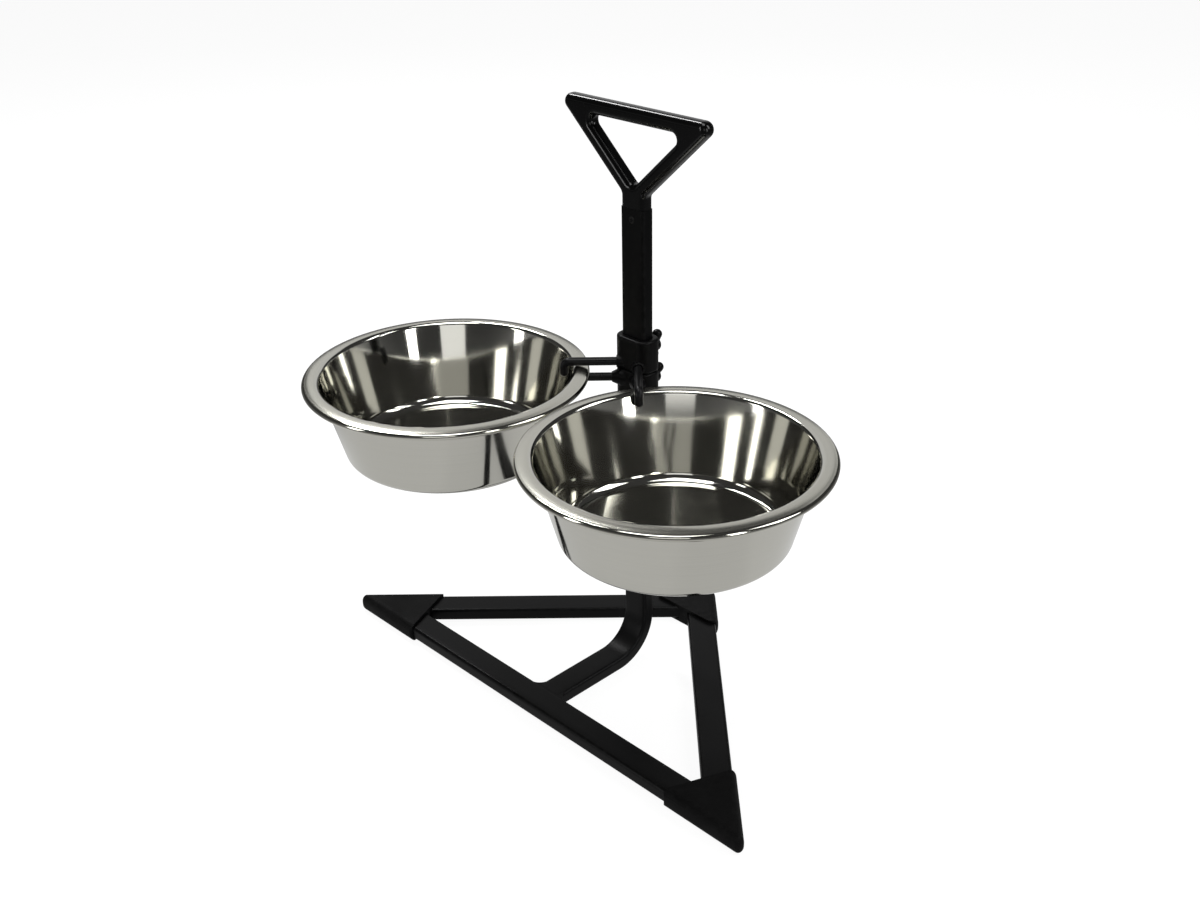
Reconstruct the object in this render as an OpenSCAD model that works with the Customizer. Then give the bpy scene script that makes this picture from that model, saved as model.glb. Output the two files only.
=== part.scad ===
// Feeder stand for a dog: a flat tube base, a post with a triangular handle,
// and two round bowls whose rims are gripped between two sliding clamps.
// Frame: +X along the front of the base, +Y to its rear corner, +Z up,
// origin on the floor under the middle of the whole object. Millimetres.

/* [Base] */
// Length of the base along its front edge, corner to corner of the tubes
base_len = 472; // [400:1:540]
// Depth of the base from its front edge to its rear corner
base_depth = 236; // [200:1:270]
// Distance from the front edge of the base back to the middle of the post
post_setback = 136; // [120:1:155]
// Width of the flat steel tube
tube_w = 25; // [22:0.5:28]
// Height of the flat steel tube
tube_h = 12; // [10:0.5:14]
// Wall of the tube
tube_wall = 1.5; // [1:0.1:2]
// Corner radius of the tube's section
tube_r = 2.8; // [2.2:0.1:4]

/* [Corner caps] */
// Thickness of a cap above and below the tubes; the lower one is the foot
cap_wall = 2.8; // [2:0.1:4]
// Thickness of a cap's sides around the tubes
cap_side = 2.9; // [2:0.1:4]
// Clearance between a cap's pockets and the tubes
cap_fit = 0.15; // [0.1:0.05:0.3]
// Radius of a cap's pointed end, seen from above
cap_tip_r = 4.5; // [4:0.5:9]
// Radius of the two ears at a cap's open end
cap_ear_r = 7; // [4:0.5:9]
// Rounding of a cap's top and bottom edges
cap_edge = 1.8; // [0.5:0.1:1.9]
// How far a cap reaches past the inner corner where its tubes meet
cap_web = 5.4; // [2:0.1:10]

/* [Post] */
// Height of the post's upper end above the floor
post_top = 418; // [400:1:460]
// Middle radius of the bend at the post's foot
bend_r = 36; // [24:1:50]

/* [Handle] */
// Width of the handle across its two upper corners
handle_w = 150; // [115:1:170]
// Height of the handle above the end of the post
handle_h = 78.5; // [65:0.5:95]
// Width of the handle's bars, seen from the front
bar_w = 13; // [10:0.5:15]
// Thickness of the handle's bars, front to back
bar_t = 12.6; // [10:0.2:13]
// Rounding of the bars' edges
bar_edge = 4; // [2:0.5:4.5]
// How far the handle's corners stand out past the bars, all round
knuckle = 0.1; // [0.1:0.05:0.5]
// Height of the middle of the handle's lower corner above the end of the post
vee_rise = 8; // [7.5:0.5:11]
// Height of the collar that stands on the post's end
collar_h = 13; // [10:0.5:16]
// How far the collar stands out past the tube, all round
collar_proud = 0.15; // [0.1:0.05:1]
// Length of the plug inside the post
plug_len = 30; // [20:1:45]
// Clearance between the plug and the tube's inside
plug_fit = 0.2; // [0.1:0.05:0.4]
// Distance of the handle's fixing screw below the end of the post
fixing_drop = 9; // [6:0.5:15]
// Diameter of the fixing screw
fixing_d = 3.2; // [2.5:0.1:4]
// Diameter of the fixing screw's countersunk head
fixing_head_d = 6; // [5:0.1:6.4]
// Length of the fixing screw
fixing_len = 8; // [6:0.5:9]

/* [Bowls] */
// Outer diameter of a bowl's rolled rim
rim_d = 235; // [200:1:260]
// Height of the top of the rims above the floor
rim_top = 284.3; // [270:0.1:300]
// Overall height of a bowl
bowl_h = 71; // [55:1:85]
// Width of the flat rim from its outer edge to the start of the wall's curve
rim_w = 10.5; // [8:0.5:13]
// How far the rim slopes down from its inner to its outer edge
rim_fall = 1.2; // [0.6:0.1:2]
// Diameter of the rolled outer edge
bead_d = 5; // [3:0.5:6]
// Thickness of the bowl's sheet steel
sheet = 1; // [0.8:0.1:1.4]
// Slope of the bowl's wall away from upright, in degrees
wall_taper = 15; // [8:0.5:18]
// Radius where the rim turns down into the wall
neck_r = 3.5; // [2.5:0.5:5]
// Radius where the wall turns into the flat bottom
floor_r = 10; // [6:0.5:15]
// Gap between the two rims
bowl_gap = 0.8; // [0.6:0.1:6]
// Turn of the two bowls together about the post, as their hooks let them, in degrees
pair_turn = 5.5; // [-6:0.1:6]
// Distance from the middle of the post to the nearest edge of a rim
post_to_rim = 39.5; // [34:0.5:50]

/* [Clamps] */
// Height of each clamp
clamp_h = 28; // [28:0.5:34]
// Wall of a clamp around the post
clamp_wall = 5.2; // [4:0.1:6]
// Corner radius of a clamp, seen from above
clamp_r = 9.5; // [6:0.5:10]
// Rounding of a clamp's upper and lower edges
clamp_edge = 1.2; // [0.5:0.1:2]
// Clearance between a clamp and the post
slide_fit = 0.25; // [0.15:0.05:0.4]
// Gap between the two clamps when they are pushed together
stack_gap = 0.3; // [0.2:0.05:1]
// Diameter of the boss that carries the clamp screw
boss_d = 17; // [15:0.5:20]
// How far that boss stands out of the clamp
boss_len = 2.5; // [2:0.5:5]

/* [Rods] */
// Angle of the rods to either side of straight ahead of the post, in degrees
arm_angle = 45; // [43:0.5:50]
// Diameter of the steel rods
rod_d = 7; // [5:0.25:7.25]
// Clearance between the rods and the bowls
grip_gap = 0.3; // [0.2:0.05:0.6]
// Clearance of a rod in its socket
socket_fit = 0.05; // [0.02:0.01:0.1]
// Material left between a socket and the post's slot
socket_floor = 0.8; // [0.5:0.1:1.5]
// Height of the hooks' middle above the upper clamp's lower edge
hook_inset = 5.3; // [5.2:0.1:8]
// How far a hook's tip drops below its own middle line
hook_drop = 13; // [10:0.5:15]
// Middle radius of a hook's bend
hook_bend_r = 5; // [4:0.5:7]
// Distance from the post at which a hook leaves its boss
hook_boss_end = 17.5; // [16.5:0.5:22]
// Diameter of a hook's boss
hook_boss_d = 10.2; // [8.5:0.1:10.2]
// Diameter of a stay's boss
cone_d = 14.2; // [11:0.1:14.2]
// Distance from the post at which a stay's boss starts to narrow
cone_start = 15; // [14:0.5:18]
// Distance from the post at which a stay leaves its boss
cone_end = 21.5; // [20:0.5:28]
// Diameter of a stay's boss at its small end
cone_tip_d = 8.4; // [8:0.1:9.5]

/* [Clamp screws] */
// Diameter of the screws
screw_d = 6; // [5:0.5:6]
// Width of the captive nuts across their flats
nut_af = 10; // [9:0.5:11]
// Height of the captive nuts
nut_h = 5; // [4:0.5:5]
// Clearance of a nut in its pocket
nut_fit = 0.1; // [0.05:0.05:0.2]
// Clearance of a screw in its thread and of its tip against the post
screw_fit = 0.05; // [0.02:0.01:0.1]
// Clearance of a screw in the clamp's boss
screw_play = 0.3; // [0.2:0.05:0.5]
// Gap between a wing knob and the clamp's boss
knob_gap = 0.6; // [0.4:0.1:2]
// Diameter of a knob's hub
hub_d = 12; // [10:0.5:13]
// Length of a knob's hub
hub_len = 9; // [7:0.5:12]
// Plastic left beyond the screw's end in the hub
hub_end = 2; // [1:0.5:3]
// Reach of a knob's wings from the screw's middle
wing_reach = 13.4; // [11:0.1:13.5]
// Radius of a wing's rounded tip
wing_tip_r = 3.6; // [3:0.1:4]
// Thickness of a wing
wing_t = 5; // [4:0.25:6]
// How far the middle of a wing's tip lies behind the hub's front face
wing_flare = 6.5; // [5:0.5:9]
// Turn of the upper knob's wings away from upright, in degrees
upper_knob_turn = 12; // [0:1:180]
// Turn of the lower knob's wings away from upright, in degrees
lower_knob_turn = 24; // [0:1:180]

/* [Hidden] */
$fn = 64;
hull_fn = 32;
hex_sides = 6;
arc_step = 8;
same = 0.001;
right_angle = 90;
cut = 1;
steel_black = "#1c1d1e";
moulded_black = "#141415";
cap_black = "#202021";
bright_steel = "#b9b8b2";
zinc = "#9a9da0";

half_len = base_len / 2;
corner_angle = atan2(base_depth, half_len);
front_half_angle = corner_angle / 2;
rear_half_angle = right_angle - corner_angle;
side_len = sqrt(half_len * half_len + base_depth * base_depth);
tube_z = cap_wall + cap_fit;
cap_h = tube_h + 2 * tube_z;
cap_offset = cap_side + cap_fit;
// How far a cap's pointed end lies inside the corner where the tubes' outer edges cross
function cap_tip_at(half_angle) = (cap_tip_r - cap_offset) / sin(half_angle) - cap_tip_r;
// The tubes' sharp ends are trimmed to leave the cap's side in front of them
function tube_trim(half_angle) = max(0, cap_tip_at(half_angle) + cap_offset);

rim_r = rim_d / 2;
bowl_reach = post_to_rim + rim_r;
half_opening = asin((rim_r + bowl_gap / 2) / bowl_reach);
// Angle of a bowl to its side of straight ahead, and how far that is from its rods' angle;
// side is -1 for left, 1 for right
function bowl_angle(side) = half_opening + side * pair_turn;
function swing(side) = bowl_angle(side) - arm_angle;

// The post stands where the middle of the whole object's box comes to the origin
base_side_x = half_len + cap_tip_r - (cap_tip_r - cap_offset) / tan(front_half_angle);
function side_x(side) = max(base_side_x, bowl_reach * sin(bowl_angle(side)) + rim_r);
front_y = min([for (side = [-1, 1]) -bowl_reach * cos(bowl_angle(side)) - rim_r]);
rear_y = base_depth - post_setback - cap_tip_at(rear_half_angle);
post_x = (side_x(-1) - side_x(1)) / 2;
post_y = -(min(front_y, -post_setback - cap_offset) + rear_y) / 2;
corner_y = post_y - post_setback;

// The bowl's section follows the middle of its sheet, from the rim's inner edge at depth 0
sheet_z = rim_top - sheet / 2;
neck_at = rim_r - rim_w;
bead_at = rim_r - bead_d / 2;
rim_arc_w = bead_at - neck_at;
rim_arc_r = (rim_arc_w * rim_arc_w + rim_fall * rim_fall) / (2 * rim_fall);
rim_arc_end = right_angle - asin(rim_arc_w / rim_arc_r);
rim_h = rim_fall + bead_d;
turn_loss = 1 - sin(wall_taper);
wall_top = [neck_at - neck_r * cos(wall_taper), neck_r * turn_loss];
floor_depth = bowl_h - sheet;
wall_low_z = floor_depth - floor_r * turn_loss;
wall_low = [wall_top.x - (wall_low_z - wall_top.y) * tan(wall_taper), wall_low_z];
floor_at = wall_low.x - floor_r * cos(wall_taper);
wall_half = sheet / 2 / cos(wall_taper);
function wall_middle(depth) = wall_top.x - (depth - wall_top.y) * tan(wall_taper);

slot_w = tube_w + 2 * slide_fit;
slot_t = tube_h + 2 * slide_fit;
slot_r = tube_r + slide_fit;
clamp_w = slot_w + 2 * clamp_wall;
clamp_t = slot_t + 2 * clamp_wall;
hook_z = rim_top + grip_gap + rod_d / 2;
stay_z = rim_top - rim_h - grip_gap - rod_d / 2;
upper_z = hook_z - hook_inset;
lower_z = upper_z - stack_gap - clamp_h;
// Distance along a rod's line, from the post, to a circle of radius r round the bowl's middle
function along(side, r) = bowl_reach * cos(swing(side)) - sqrt(pow(r, 2) - pow(bowl_reach * sin(swing(side)), 2));
rod_root = (slot_t / 2 + socket_floor + rod_d / 2 * sin(arm_angle)) / cos(arm_angle);
hook_tip_depth = sheet_z - (hook_z - hook_drop);
hook_room = wall_middle(hook_tip_depth) - wall_half - grip_gap - rod_d / 2;
hook_at = max([for (side = [-1, 1]) along(side, hook_room)]);
stay_top_depth = sheet_z - (stay_z + rod_d / 2);
stay_room = wall_middle(stay_top_depth) + wall_half + grip_gap + rod_d / 2;
stay_end = min([for (side = [-1, 1]) along(side, stay_room)]) + rod_d / 2;
boss_end = clamp_t / 2 + boss_len;
nut_seat = slot_t / 2 + nut_h + 2 * nut_fit;
knob_face = boss_end + knob_gap;
screw_tip = tube_h / 2 + 2 * screw_fit;
screw_end = knob_face + hub_len - hub_end;

// Flat shapes

module rounded_rectangle(w, h, r) {
  square([w - 2 * r, h], center = true);
  square([w, h - 2 * r], center = true);
  for (x = [-1, 1], y = [-1, 1])
    translate([x * (w / 2 - r), y * (h / 2 - r)]) circle(r);
}

module tube_section() {
  difference() {
    rounded_rectangle(tube_w, tube_h, tube_r);
    rounded_rectangle(tube_w - 2 * tube_wall, tube_h - 2 * tube_wall, tube_r - tube_wall);
  }
}

function arc_points(middle, r, from, to) = let (steps = ceil(abs(to - from) / arc_step))
  [for (i = [0 : steps]) let (a = from + (to - from) * i / steps) middle + r * [cos(a), sin(a)]];

function without_repeats(points) =
  [for (i = [0 : len(points) - 1]) if (i == 0 || norm(points[i] - points[max(i - 1, 0)]) > same) points[i]];

// Places

module at_post() { translate([post_x, post_y, 0]) children(); }

// Turns +X to point outwards from the post, at an angle to its side of straight ahead
module outwards(side, angle) {
  at_post() rotate(-right_angle + side * angle) children();
}

module along_arm(side) { outwards(side, arm_angle) children(); }

// The left half's places serve the right half by mirroring
module on_side(side) { translate([post_x, 0, 0]) mirror([side > 0 ? 1 : 0, 0, 0]) children(); }

// Lays a shape that is drawn along +Z out along +X
module lying() { rotate([0, right_angle, 0]) children(); }

// Turns a shape that is drawn along +Z to point backwards, along +Y
module backwards() { rotate([-right_angle, 0, 0]) children(); }

// Base

// Lies along +X with its outer edge on the X axis; each end is mitred and its sharp tip trimmed
module mitred_tube(len, near, far) {
  near_trim = tube_trim(near);
  far_trim = tube_trim(far);
  translate([0, 0, tube_z]) intersection() {
    translate([0, tube_w / 2, tube_h / 2]) rotate([right_angle, 0, right_angle])
      linear_extrude(len) tube_section();
    translate([0, 0, -cut]) linear_extrude(tube_h + 2 * cut) polygon([
      [near_trim / cos(near), 0], [len - far_trim / cos(far), 0],
      [len - far_trim * cos(far), far_trim * sin(far)], [len - tube_w / tan(far), tube_w],
      [tube_w / tan(near), tube_w], [near_trim * cos(near), near_trim * sin(near)]
    ]);
  }
}

module base_tube_front() {
  color(steel_black) on_side(-1) translate([-half_len, corner_y, 0])
    mitred_tube(base_len, front_half_angle, front_half_angle);
}

module base_tube_side(side) {
  color(steel_black) on_side(side) translate([-half_len, corner_y, 0])
    rotate(corner_angle) mirror([0, 1, 0]) mitred_tube(side_len, front_half_angle, rear_half_angle);
}

// A cap lies with its tubes' outer corner at 0 and its middle line along +X
module corner_cap(half_angle) {
  inner_corner_at = (tube_w + cap_fit) / sin(half_angle);
  len = inner_corner_at + cap_web;
  corner_at = -cap_offset / sin(half_angle);
  tip_at = corner_at + cap_tip_r / sin(half_angle);
  ear_at = len - cap_ear_r;
  ear_out = ((ear_at - corner_at) * sin(half_angle) - cap_ear_r) / cos(half_angle);
  rounds = [[tip_at, 0, cap_tip_r], [ear_at, ear_out, cap_ear_r], [ear_at, -ear_out, cap_ear_r]];
  pocket_w = tube_w + 2 * cap_fit;
  pocket_tip = tube_trim(half_angle) - cap_fit;
  pocket_side = (pocket_tip + cap_fit / sin(half_angle)) * tan(half_angle);
  pocket_out = [pocket_tip, pocket_side] + 2 * len * [cos(half_angle), sin(half_angle)];
  pocket_in = pocket_out + pocket_w * [sin(half_angle), -cos(half_angle)];
  color(cap_black) difference() {
    hull() for (p = rounds) translate([p.x, p.y, 0]) {
      cylinder(r = p.z - cap_edge, h = cap_h, $fn = hull_fn);
      translate([0, 0, cap_edge]) cylinder(r = p.z, h = cap_h - 2 * cap_edge, $fn = hull_fn);
    }
    for (flip = [0, 1]) mirror([0, flip, 0])
      translate([0, 0, cap_wall]) linear_extrude(tube_h + 2 * cap_fit)
        polygon([[pocket_tip, 0], [pocket_tip, pocket_side], pocket_out, pocket_in, [inner_corner_at, 0]]);
  }
}

module cap_front(side) {
  on_side(side) translate([-half_len, corner_y, 0]) rotate(front_half_angle)
    corner_cap(front_half_angle);
}

module cap_rear() {
  translate([post_x, corner_y + base_depth, 0]) rotate(-right_angle)
    corner_cap(rear_half_angle);
}

// Post and handle

module post() {
  middle_z = tube_z + tube_h / 2;
  foot_len = post_setback - tube_w - bend_r;
  color(steel_black) difference() {
    at_post() {
      translate([0, -bend_r, middle_z]) rotate([right_angle, 0, 0]) linear_extrude(foot_len) tube_section();
      translate([0, -bend_r, middle_z + bend_r]) lying()
        rotate_extrude(angle = right_angle) translate([bend_r, 0]) rotate(right_angle) tube_section();
      translate([0, 0, middle_z + bend_r]) linear_extrude(post_top - middle_z - bend_r) tube_section();
    }
    fixing(screw_fit);
  }
}

// The fixing screw goes in through the post's front face; room is added all round it
module fixing(room) {
  head_len = (fixing_head_d - fixing_d) / 2;
  at_post() translate([0, -tube_h / 2, post_top - fixing_drop]) backwards() {
    cylinder(d1 = fixing_head_d + 2 * room, d2 = fixing_d + 2 * room, h = head_len);
    cylinder(d = fixing_d + 2 * room, h = fixing_len + room);
  }
}

module handle_screw() { color(zinc) fixing(0); }

module bar_section(grow) { rounded_rectangle(bar_w + 2 * grow, bar_t + 2 * grow, bar_edge + grow); }

module bar(from, to) {
  reach = to - from;
  translate([from.x, 0, from.y]) rotate([0, atan2(reach.x, reach.y), 0])
    linear_extrude(norm(reach)) bar_section(0);
}

module bar_end(at) {
  translate([at.x, 0, at.y]) backwards() rotate_extrude() intersection() {
    bar_section(knuckle);
    translate([0, -bar_t]) square([bar_w, 2 * bar_t]);
  }
}

module handle() {
  low_corner = [0, vee_rise];
  corner_r = bar_w / 2 + knuckle;
  upper_corners = [for (side = [-1, 1]) [side * (handle_w / 2 - corner_r), handle_h - corner_r]];
  plug_w = tube_w - 2 * (tube_wall + plug_fit);
  plug_t = tube_h - 2 * (tube_wall + plug_fit);
  color(moulded_black) difference() {
    at_post() translate([0, 0, post_top]) {
      bar(upper_corners[0], upper_corners[1]);
      for (c = upper_corners) {
        bar(low_corner, c);
        bar_end(c);
      }
      bar_end(low_corner);
      linear_extrude(collar_h) rounded_rectangle(
        tube_w + 2 * collar_proud, tube_h + 2 * collar_proud, tube_r + collar_proud);
      translate([0, 0, -plug_len]) linear_extrude(plug_len + collar_h / 2)
        rounded_rectangle(plug_w, plug_t, tube_r - tube_wall);
    }
    fixing(screw_fit);
  }
}

// Clamps

module clamp_block() {
  hull() for (inset = [0, clamp_edge])
    translate([0, 0, clamp_edge - inset]) linear_extrude(clamp_h - 2 * (clamp_edge - inset))
      rounded_rectangle(clamp_w - 2 * inset, clamp_t - 2 * inset, clamp_r - inset, $fn = hull_fn);
}

// The hole down a clamp for the post, and behind it the nut's pocket and the screw's hole
module clamp_holes() {
  translate([0, 0, -cut]) linear_extrude(clamp_h + 2 * cut) rounded_rectangle(slot_w, slot_t, slot_r);
  translate([0, 0, clamp_h / 2]) backwards() {
    cylinder(d = screw_d + 2 * screw_play, h = boss_end + cut);
    cylinder(d = hex_size(nut_af + 2 * nut_fit), h = nut_seat, $fn = hex_sides);
  }
}

module screw_boss() {
  translate([0, 0, clamp_h / 2]) backwards() cylinder(d = boss_d, h = boss_end);
}

function hex_size(flats) = flats / cos(right_angle * 2 / hex_sides);

module upper_clamp() {
  color(moulded_black) difference() {
    union() {
      at_post() translate([0, 0, upper_z]) {
        clamp_block();
        screw_boss();
      }
      for (side = [-1, 1]) along_arm(side) translate([0, 0, hook_z]) lying()
        cylinder(d = hook_boss_d, h = hook_boss_end);
    }
    at_post() translate([0, 0, upper_z]) clamp_holes();
    for (side = [-1, 1]) along_arm(side) translate([rod_root, 0, hook_z]) lying()
      cylinder(d = rod_d + 2 * socket_fit, h = hook_boss_end);
  }
}

module stay_boss() {
  rotate_extrude() polygon([
    [0, 0], [cone_d / 2, 0], [cone_d / 2, cone_start], [cone_tip_d / 2, cone_end], [0, cone_end]
  ]);
}

module lower_clamp() {
  color(moulded_black) difference() {
    union() {
      at_post() translate([0, 0, lower_z]) {
        clamp_block();
        screw_boss();
      }
      for (side = [-1, 1]) along_arm(side) translate([0, 0, stay_z]) lying() stay_boss();
    }
    at_post() translate([0, 0, lower_z]) clamp_holes();
    for (side = [-1, 1]) along_arm(side) translate([rod_root, 0, stay_z]) lying()
      cylinder(d = rod_d + 2 * socket_fit, h = cone_end);
  }
}

module clamp_nut(z) {
  color(zinc) at_post() translate([0, slot_t / 2 + nut_fit, z + clamp_h / 2]) backwards() difference() {
    cylinder(d = hex_size(nut_af), h = nut_h, $fn = hex_sides);
    translate([0, 0, -cut]) cylinder(d = screw_d + 2 * screw_fit, h = nut_h + 2 * cut);
  }
}

module knob_screw(z) {
  color(zinc) at_post() translate([0, screw_tip, z + clamp_h / 2]) backwards()
    cylinder(d = screw_d, h = screw_end - screw_tip);
}

module wing_knob(z, turn) {
  tip = [wing_reach - wing_tip_r, wing_flare];
  color(moulded_black) at_post() translate([0, knob_face, z + clamp_h / 2]) rotate([0, turn, 0]) difference() {
    union() {
      backwards() cylinder(d = hub_d, h = hub_len);
      for (side = [-1, 1]) scale([1, 1, side]) rotate([0, -right_angle, 0])
        linear_extrude(wing_t, center = true) {
          translate(tip) circle(wing_tip_r);
          polygon([[0, cut], [tip.x, tip.y - wing_tip_r], [tip.x, tip.y + wing_tip_r], [0, hub_len]]);
        }
    }
    translate([0, -cut, 0]) backwards()
      cylinder(d = screw_d + 2 * screw_fit, h = screw_end - knob_face + cut);
  }
}

// Rods

module hook(side) {
  color(steel_black) along_arm(side) translate([0, 0, hook_z]) {
    translate([rod_root + socket_fit, 0, 0]) lying()
      cylinder(d = rod_d, h = hook_at - hook_bend_r - rod_root - socket_fit);
    translate([hook_at - hook_bend_r, 0, -hook_bend_r]) rotate([right_angle, 0, 0])
      rotate_extrude(angle = right_angle) translate([hook_bend_r, 0]) circle(d = rod_d);
    translate([hook_at, 0, rod_d / 2 - hook_drop]) {
      cylinder(d = rod_d, h = hook_drop - hook_bend_r - rod_d / 2);
      sphere(d = rod_d);
    }
  }
}

module stay(side) {
  color(steel_black) along_arm(side) translate([rod_root + socket_fit, 0, stay_z]) {
    straight = stay_end - rod_d / 2 - rod_root - socket_fit;
    lying() cylinder(d = rod_d, h = straight);
    translate([straight, 0, 0]) sphere(d = rod_d);
  }
}

// Bowls

module bowl(side) {
  half = sheet / 2;
  rim_middle = [neck_at, -rim_arc_r];
  neck_middle = [neck_at, -neck_r];
  floor_middle = [floor_at, floor_r - floor_depth];
  neck_end = 2 * right_angle - wall_taper;
  // The rolled edge closes on the rim's underside, where their two circles cross
  bead_r = bead_d / 2;
  bead_middle = [bead_at, half - rim_fall - bead_r];
  under_r = rim_arc_r - half;
  inward = rim_middle - bead_middle;
  span = norm(inward);
  bead_close = atan2(inward.y, inward.x)
    - acos((bead_r * bead_r + span * span - under_r * under_r) / (2 * bead_r * span));
  close_at = bead_middle + bead_r * [cos(bead_close), sin(bead_close)] - rim_middle;
  color(bright_steel) outwards(side, bowl_angle(side)) translate([bowl_reach, 0, sheet_z]) rotate_extrude()
    polygon(without_repeats(concat(
      [[0, half - floor_depth]],
      arc_points(floor_middle, floor_r - half, -right_angle, -wall_taper),
      arc_points(neck_middle, neck_r + half, neck_end, right_angle),
      arc_points(rim_middle, rim_arc_r + half, right_angle, rim_arc_end),
      arc_points(bead_middle, bead_r, rim_arc_end, bead_close),
      arc_points(rim_middle, under_r, atan2(close_at.y, close_at.x), right_angle),
      arc_points(neck_middle, neck_r - half, right_angle, neck_end),
      arc_points(floor_middle, floor_r + half, -wall_taper, -right_angle),
      [[0, -half - floor_depth]]
    )));
}

base_tube_front();
base_tube_side(-1);  // base_tube_left
base_tube_side(1);  // base_tube_right
cap_front(-1);  // cap_left
cap_front(1);  // cap_right
cap_rear();
post();
handle();
handle_screw();
lower_clamp();
clamp_nut(lower_z);  // lower_clamp_nut
wing_knob(lower_z, lower_knob_turn);  // lower_knob
knob_screw(lower_z);  // lower_knob_screw
stay(-1);  // left_stay
stay(1);  // right_stay
upper_clamp();
clamp_nut(upper_z);  // upper_clamp_nut
wing_knob(upper_z, upper_knob_turn);  // upper_knob
knob_screw(upper_z);  // upper_knob_screw
hook(-1);  // left_hook
hook(1);  // right_hook
bowl(-1);  // left_bowl
bowl(1);  // right_bowl
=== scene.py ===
import math

import bmesh
import bpy
from mathutils import Matrix, Vector


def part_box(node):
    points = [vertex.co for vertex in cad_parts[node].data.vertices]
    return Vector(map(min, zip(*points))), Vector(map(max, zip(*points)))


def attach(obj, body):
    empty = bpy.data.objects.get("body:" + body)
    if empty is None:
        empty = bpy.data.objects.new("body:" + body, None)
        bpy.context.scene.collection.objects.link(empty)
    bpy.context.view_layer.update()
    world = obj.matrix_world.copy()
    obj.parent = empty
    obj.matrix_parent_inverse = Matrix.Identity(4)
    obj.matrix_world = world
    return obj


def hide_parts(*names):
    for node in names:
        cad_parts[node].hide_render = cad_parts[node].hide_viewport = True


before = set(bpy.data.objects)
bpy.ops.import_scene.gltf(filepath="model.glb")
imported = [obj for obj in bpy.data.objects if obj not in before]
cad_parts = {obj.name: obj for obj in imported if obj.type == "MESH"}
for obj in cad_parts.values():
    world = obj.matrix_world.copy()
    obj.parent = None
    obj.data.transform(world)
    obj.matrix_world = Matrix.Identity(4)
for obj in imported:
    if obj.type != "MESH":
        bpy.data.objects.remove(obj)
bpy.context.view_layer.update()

scene = bpy.context.scene
scene.view_settings.view_transform = "Standard"


# Stage
# A white table top that keeps the stand's soft shadow, before a white wall, seen from above and to the right.
# Large soft lamps stand round it in a dim room. Polished metal mirrors a painted pool of light, a glow on the
# table round the stand seen only in reflections, and a painted pale band of wall just above the table's edge.

eye_at = (0.7217, -0.6801, 0.7434)
eye_turn, eye_drop, eye_roll = 46.03, 27.32, -1.14
lens, film_width = 41.46, 36
table_half, table_tone, table_seen = 40, (0.13, 0.13, 0.13, 1), 0.94
# Painted light seen only in the metal: a glowing pool on the table, bright near the stand and dim further off.
painted_pool_near, painted_pool_far, painted_pool_bright, painted_pool_dim = 0.45, 0.75, 0.54, 0.05
# The pale band is painted light in the room just above the horizon, seen only in reflections.
room_dim, painted_band_pale, painted_band_top, wall_seen = 0.05, 0.28, 0.15, 0.97
lamp_aim = Vector((0, 0, 0.25))
noise_low, noise_high = 0.3, 0.7


def new_piece(name, data):
    piece = bpy.data.objects.new(name, data)
    scene.collection.objects.link(piece)
    return piece


eye = bpy.data.cameras.new("camera")
eye.sensor_width, eye.lens = film_width, lens
camera = new_piece("camera", eye)
camera.matrix_world = (
    Matrix.Translation(eye_at)
    @ Matrix.Rotation(math.radians(eye_turn), 4, "Z")
    @ Matrix.Rotation(math.radians(90 - eye_drop), 4, "X")
    @ Matrix.Rotation(math.radians(eye_roll), 4, "Z")
)
scene.camera = camera


def feed(tree, socket, value):
    """Links a socket to another one, or sets it to a plain value."""
    if isinstance(value, bpy.types.NodeSocket):
        tree.links.new(value, socket)
    else:
        socket.default_value = value


def add_node(tree, kind, _settings=None, **feeds):
    """A node with its settings made, and its sockets fed by name."""
    node = tree.nodes.new(kind)
    for key, value in (_settings or {}).items():
        setattr(node, key, value)
    for key, value in feeds.items():
        feed(tree, node.inputs[key.replace("_", " ")], value)
    return node


def reckon(tree, operation, *values, kind="ShaderNodeMath", **settings):
    """The outputs of a node that works something out from the values, in their order."""
    node = add_node(tree, kind, {"operation": operation, **settings})
    for socket, value in zip(node.inputs, values):
        feed(tree, socket, value)
    return node.outputs


def mix(tree, kind, share, first, second):
    """A blend of two numbers or colours: a Mix node has its own sockets for each kind."""
    at, out = {"FLOAT": (2, 0), "RGBA": (6, 2)}[kind]
    node = add_node(tree, "ShaderNodeMix", {"data_type": kind})
    for place, value in ((0, share), (at, first), (at + 1, second)):
        feed(tree, node.inputs[place], value)
    return node.outputs[out]


def eased(tree, value, near, far, at_near, at_far):
    """A number that goes smoothly from one level to another as the value goes from near to far."""
    return add_node(tree, "ShaderNodeMapRange", {"interpolation_type": "SMOOTHSTEP"}, Value=value,
                    From_Min=near, From_Max=far, To_Min=at_near, To_Max=at_far).outputs[0]


def spread(tree, noise, least, most):
    """A noise spread over a range, as most of it lies in a narrow one."""
    return add_node(tree, "ShaderNodeMapRange", Value=noise, From_Min=noise_low, From_Max=noise_high,
                    To_Min=least, To_Max=most).outputs[0]


def new_material(name):
    material = bpy.data.materials.new(name)
    material.use_nodes = True
    tree = material.node_tree
    tree.nodes.clear()
    return material, tree, tree.nodes.new("ShaderNodeOutputMaterial").inputs["Surface"]


def seen_and_mirrored(tree):
    """1 for what the camera sees itself, and 1 for what metal or glass shows it."""
    rays = add_node(tree, "ShaderNodeLightPath").outputs
    return rays["Is Camera Ray"], reckon(tree, "MAXIMUM", rays["Is Glossy Ray"], rays["Is Transmission Ray"])[0]


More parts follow.
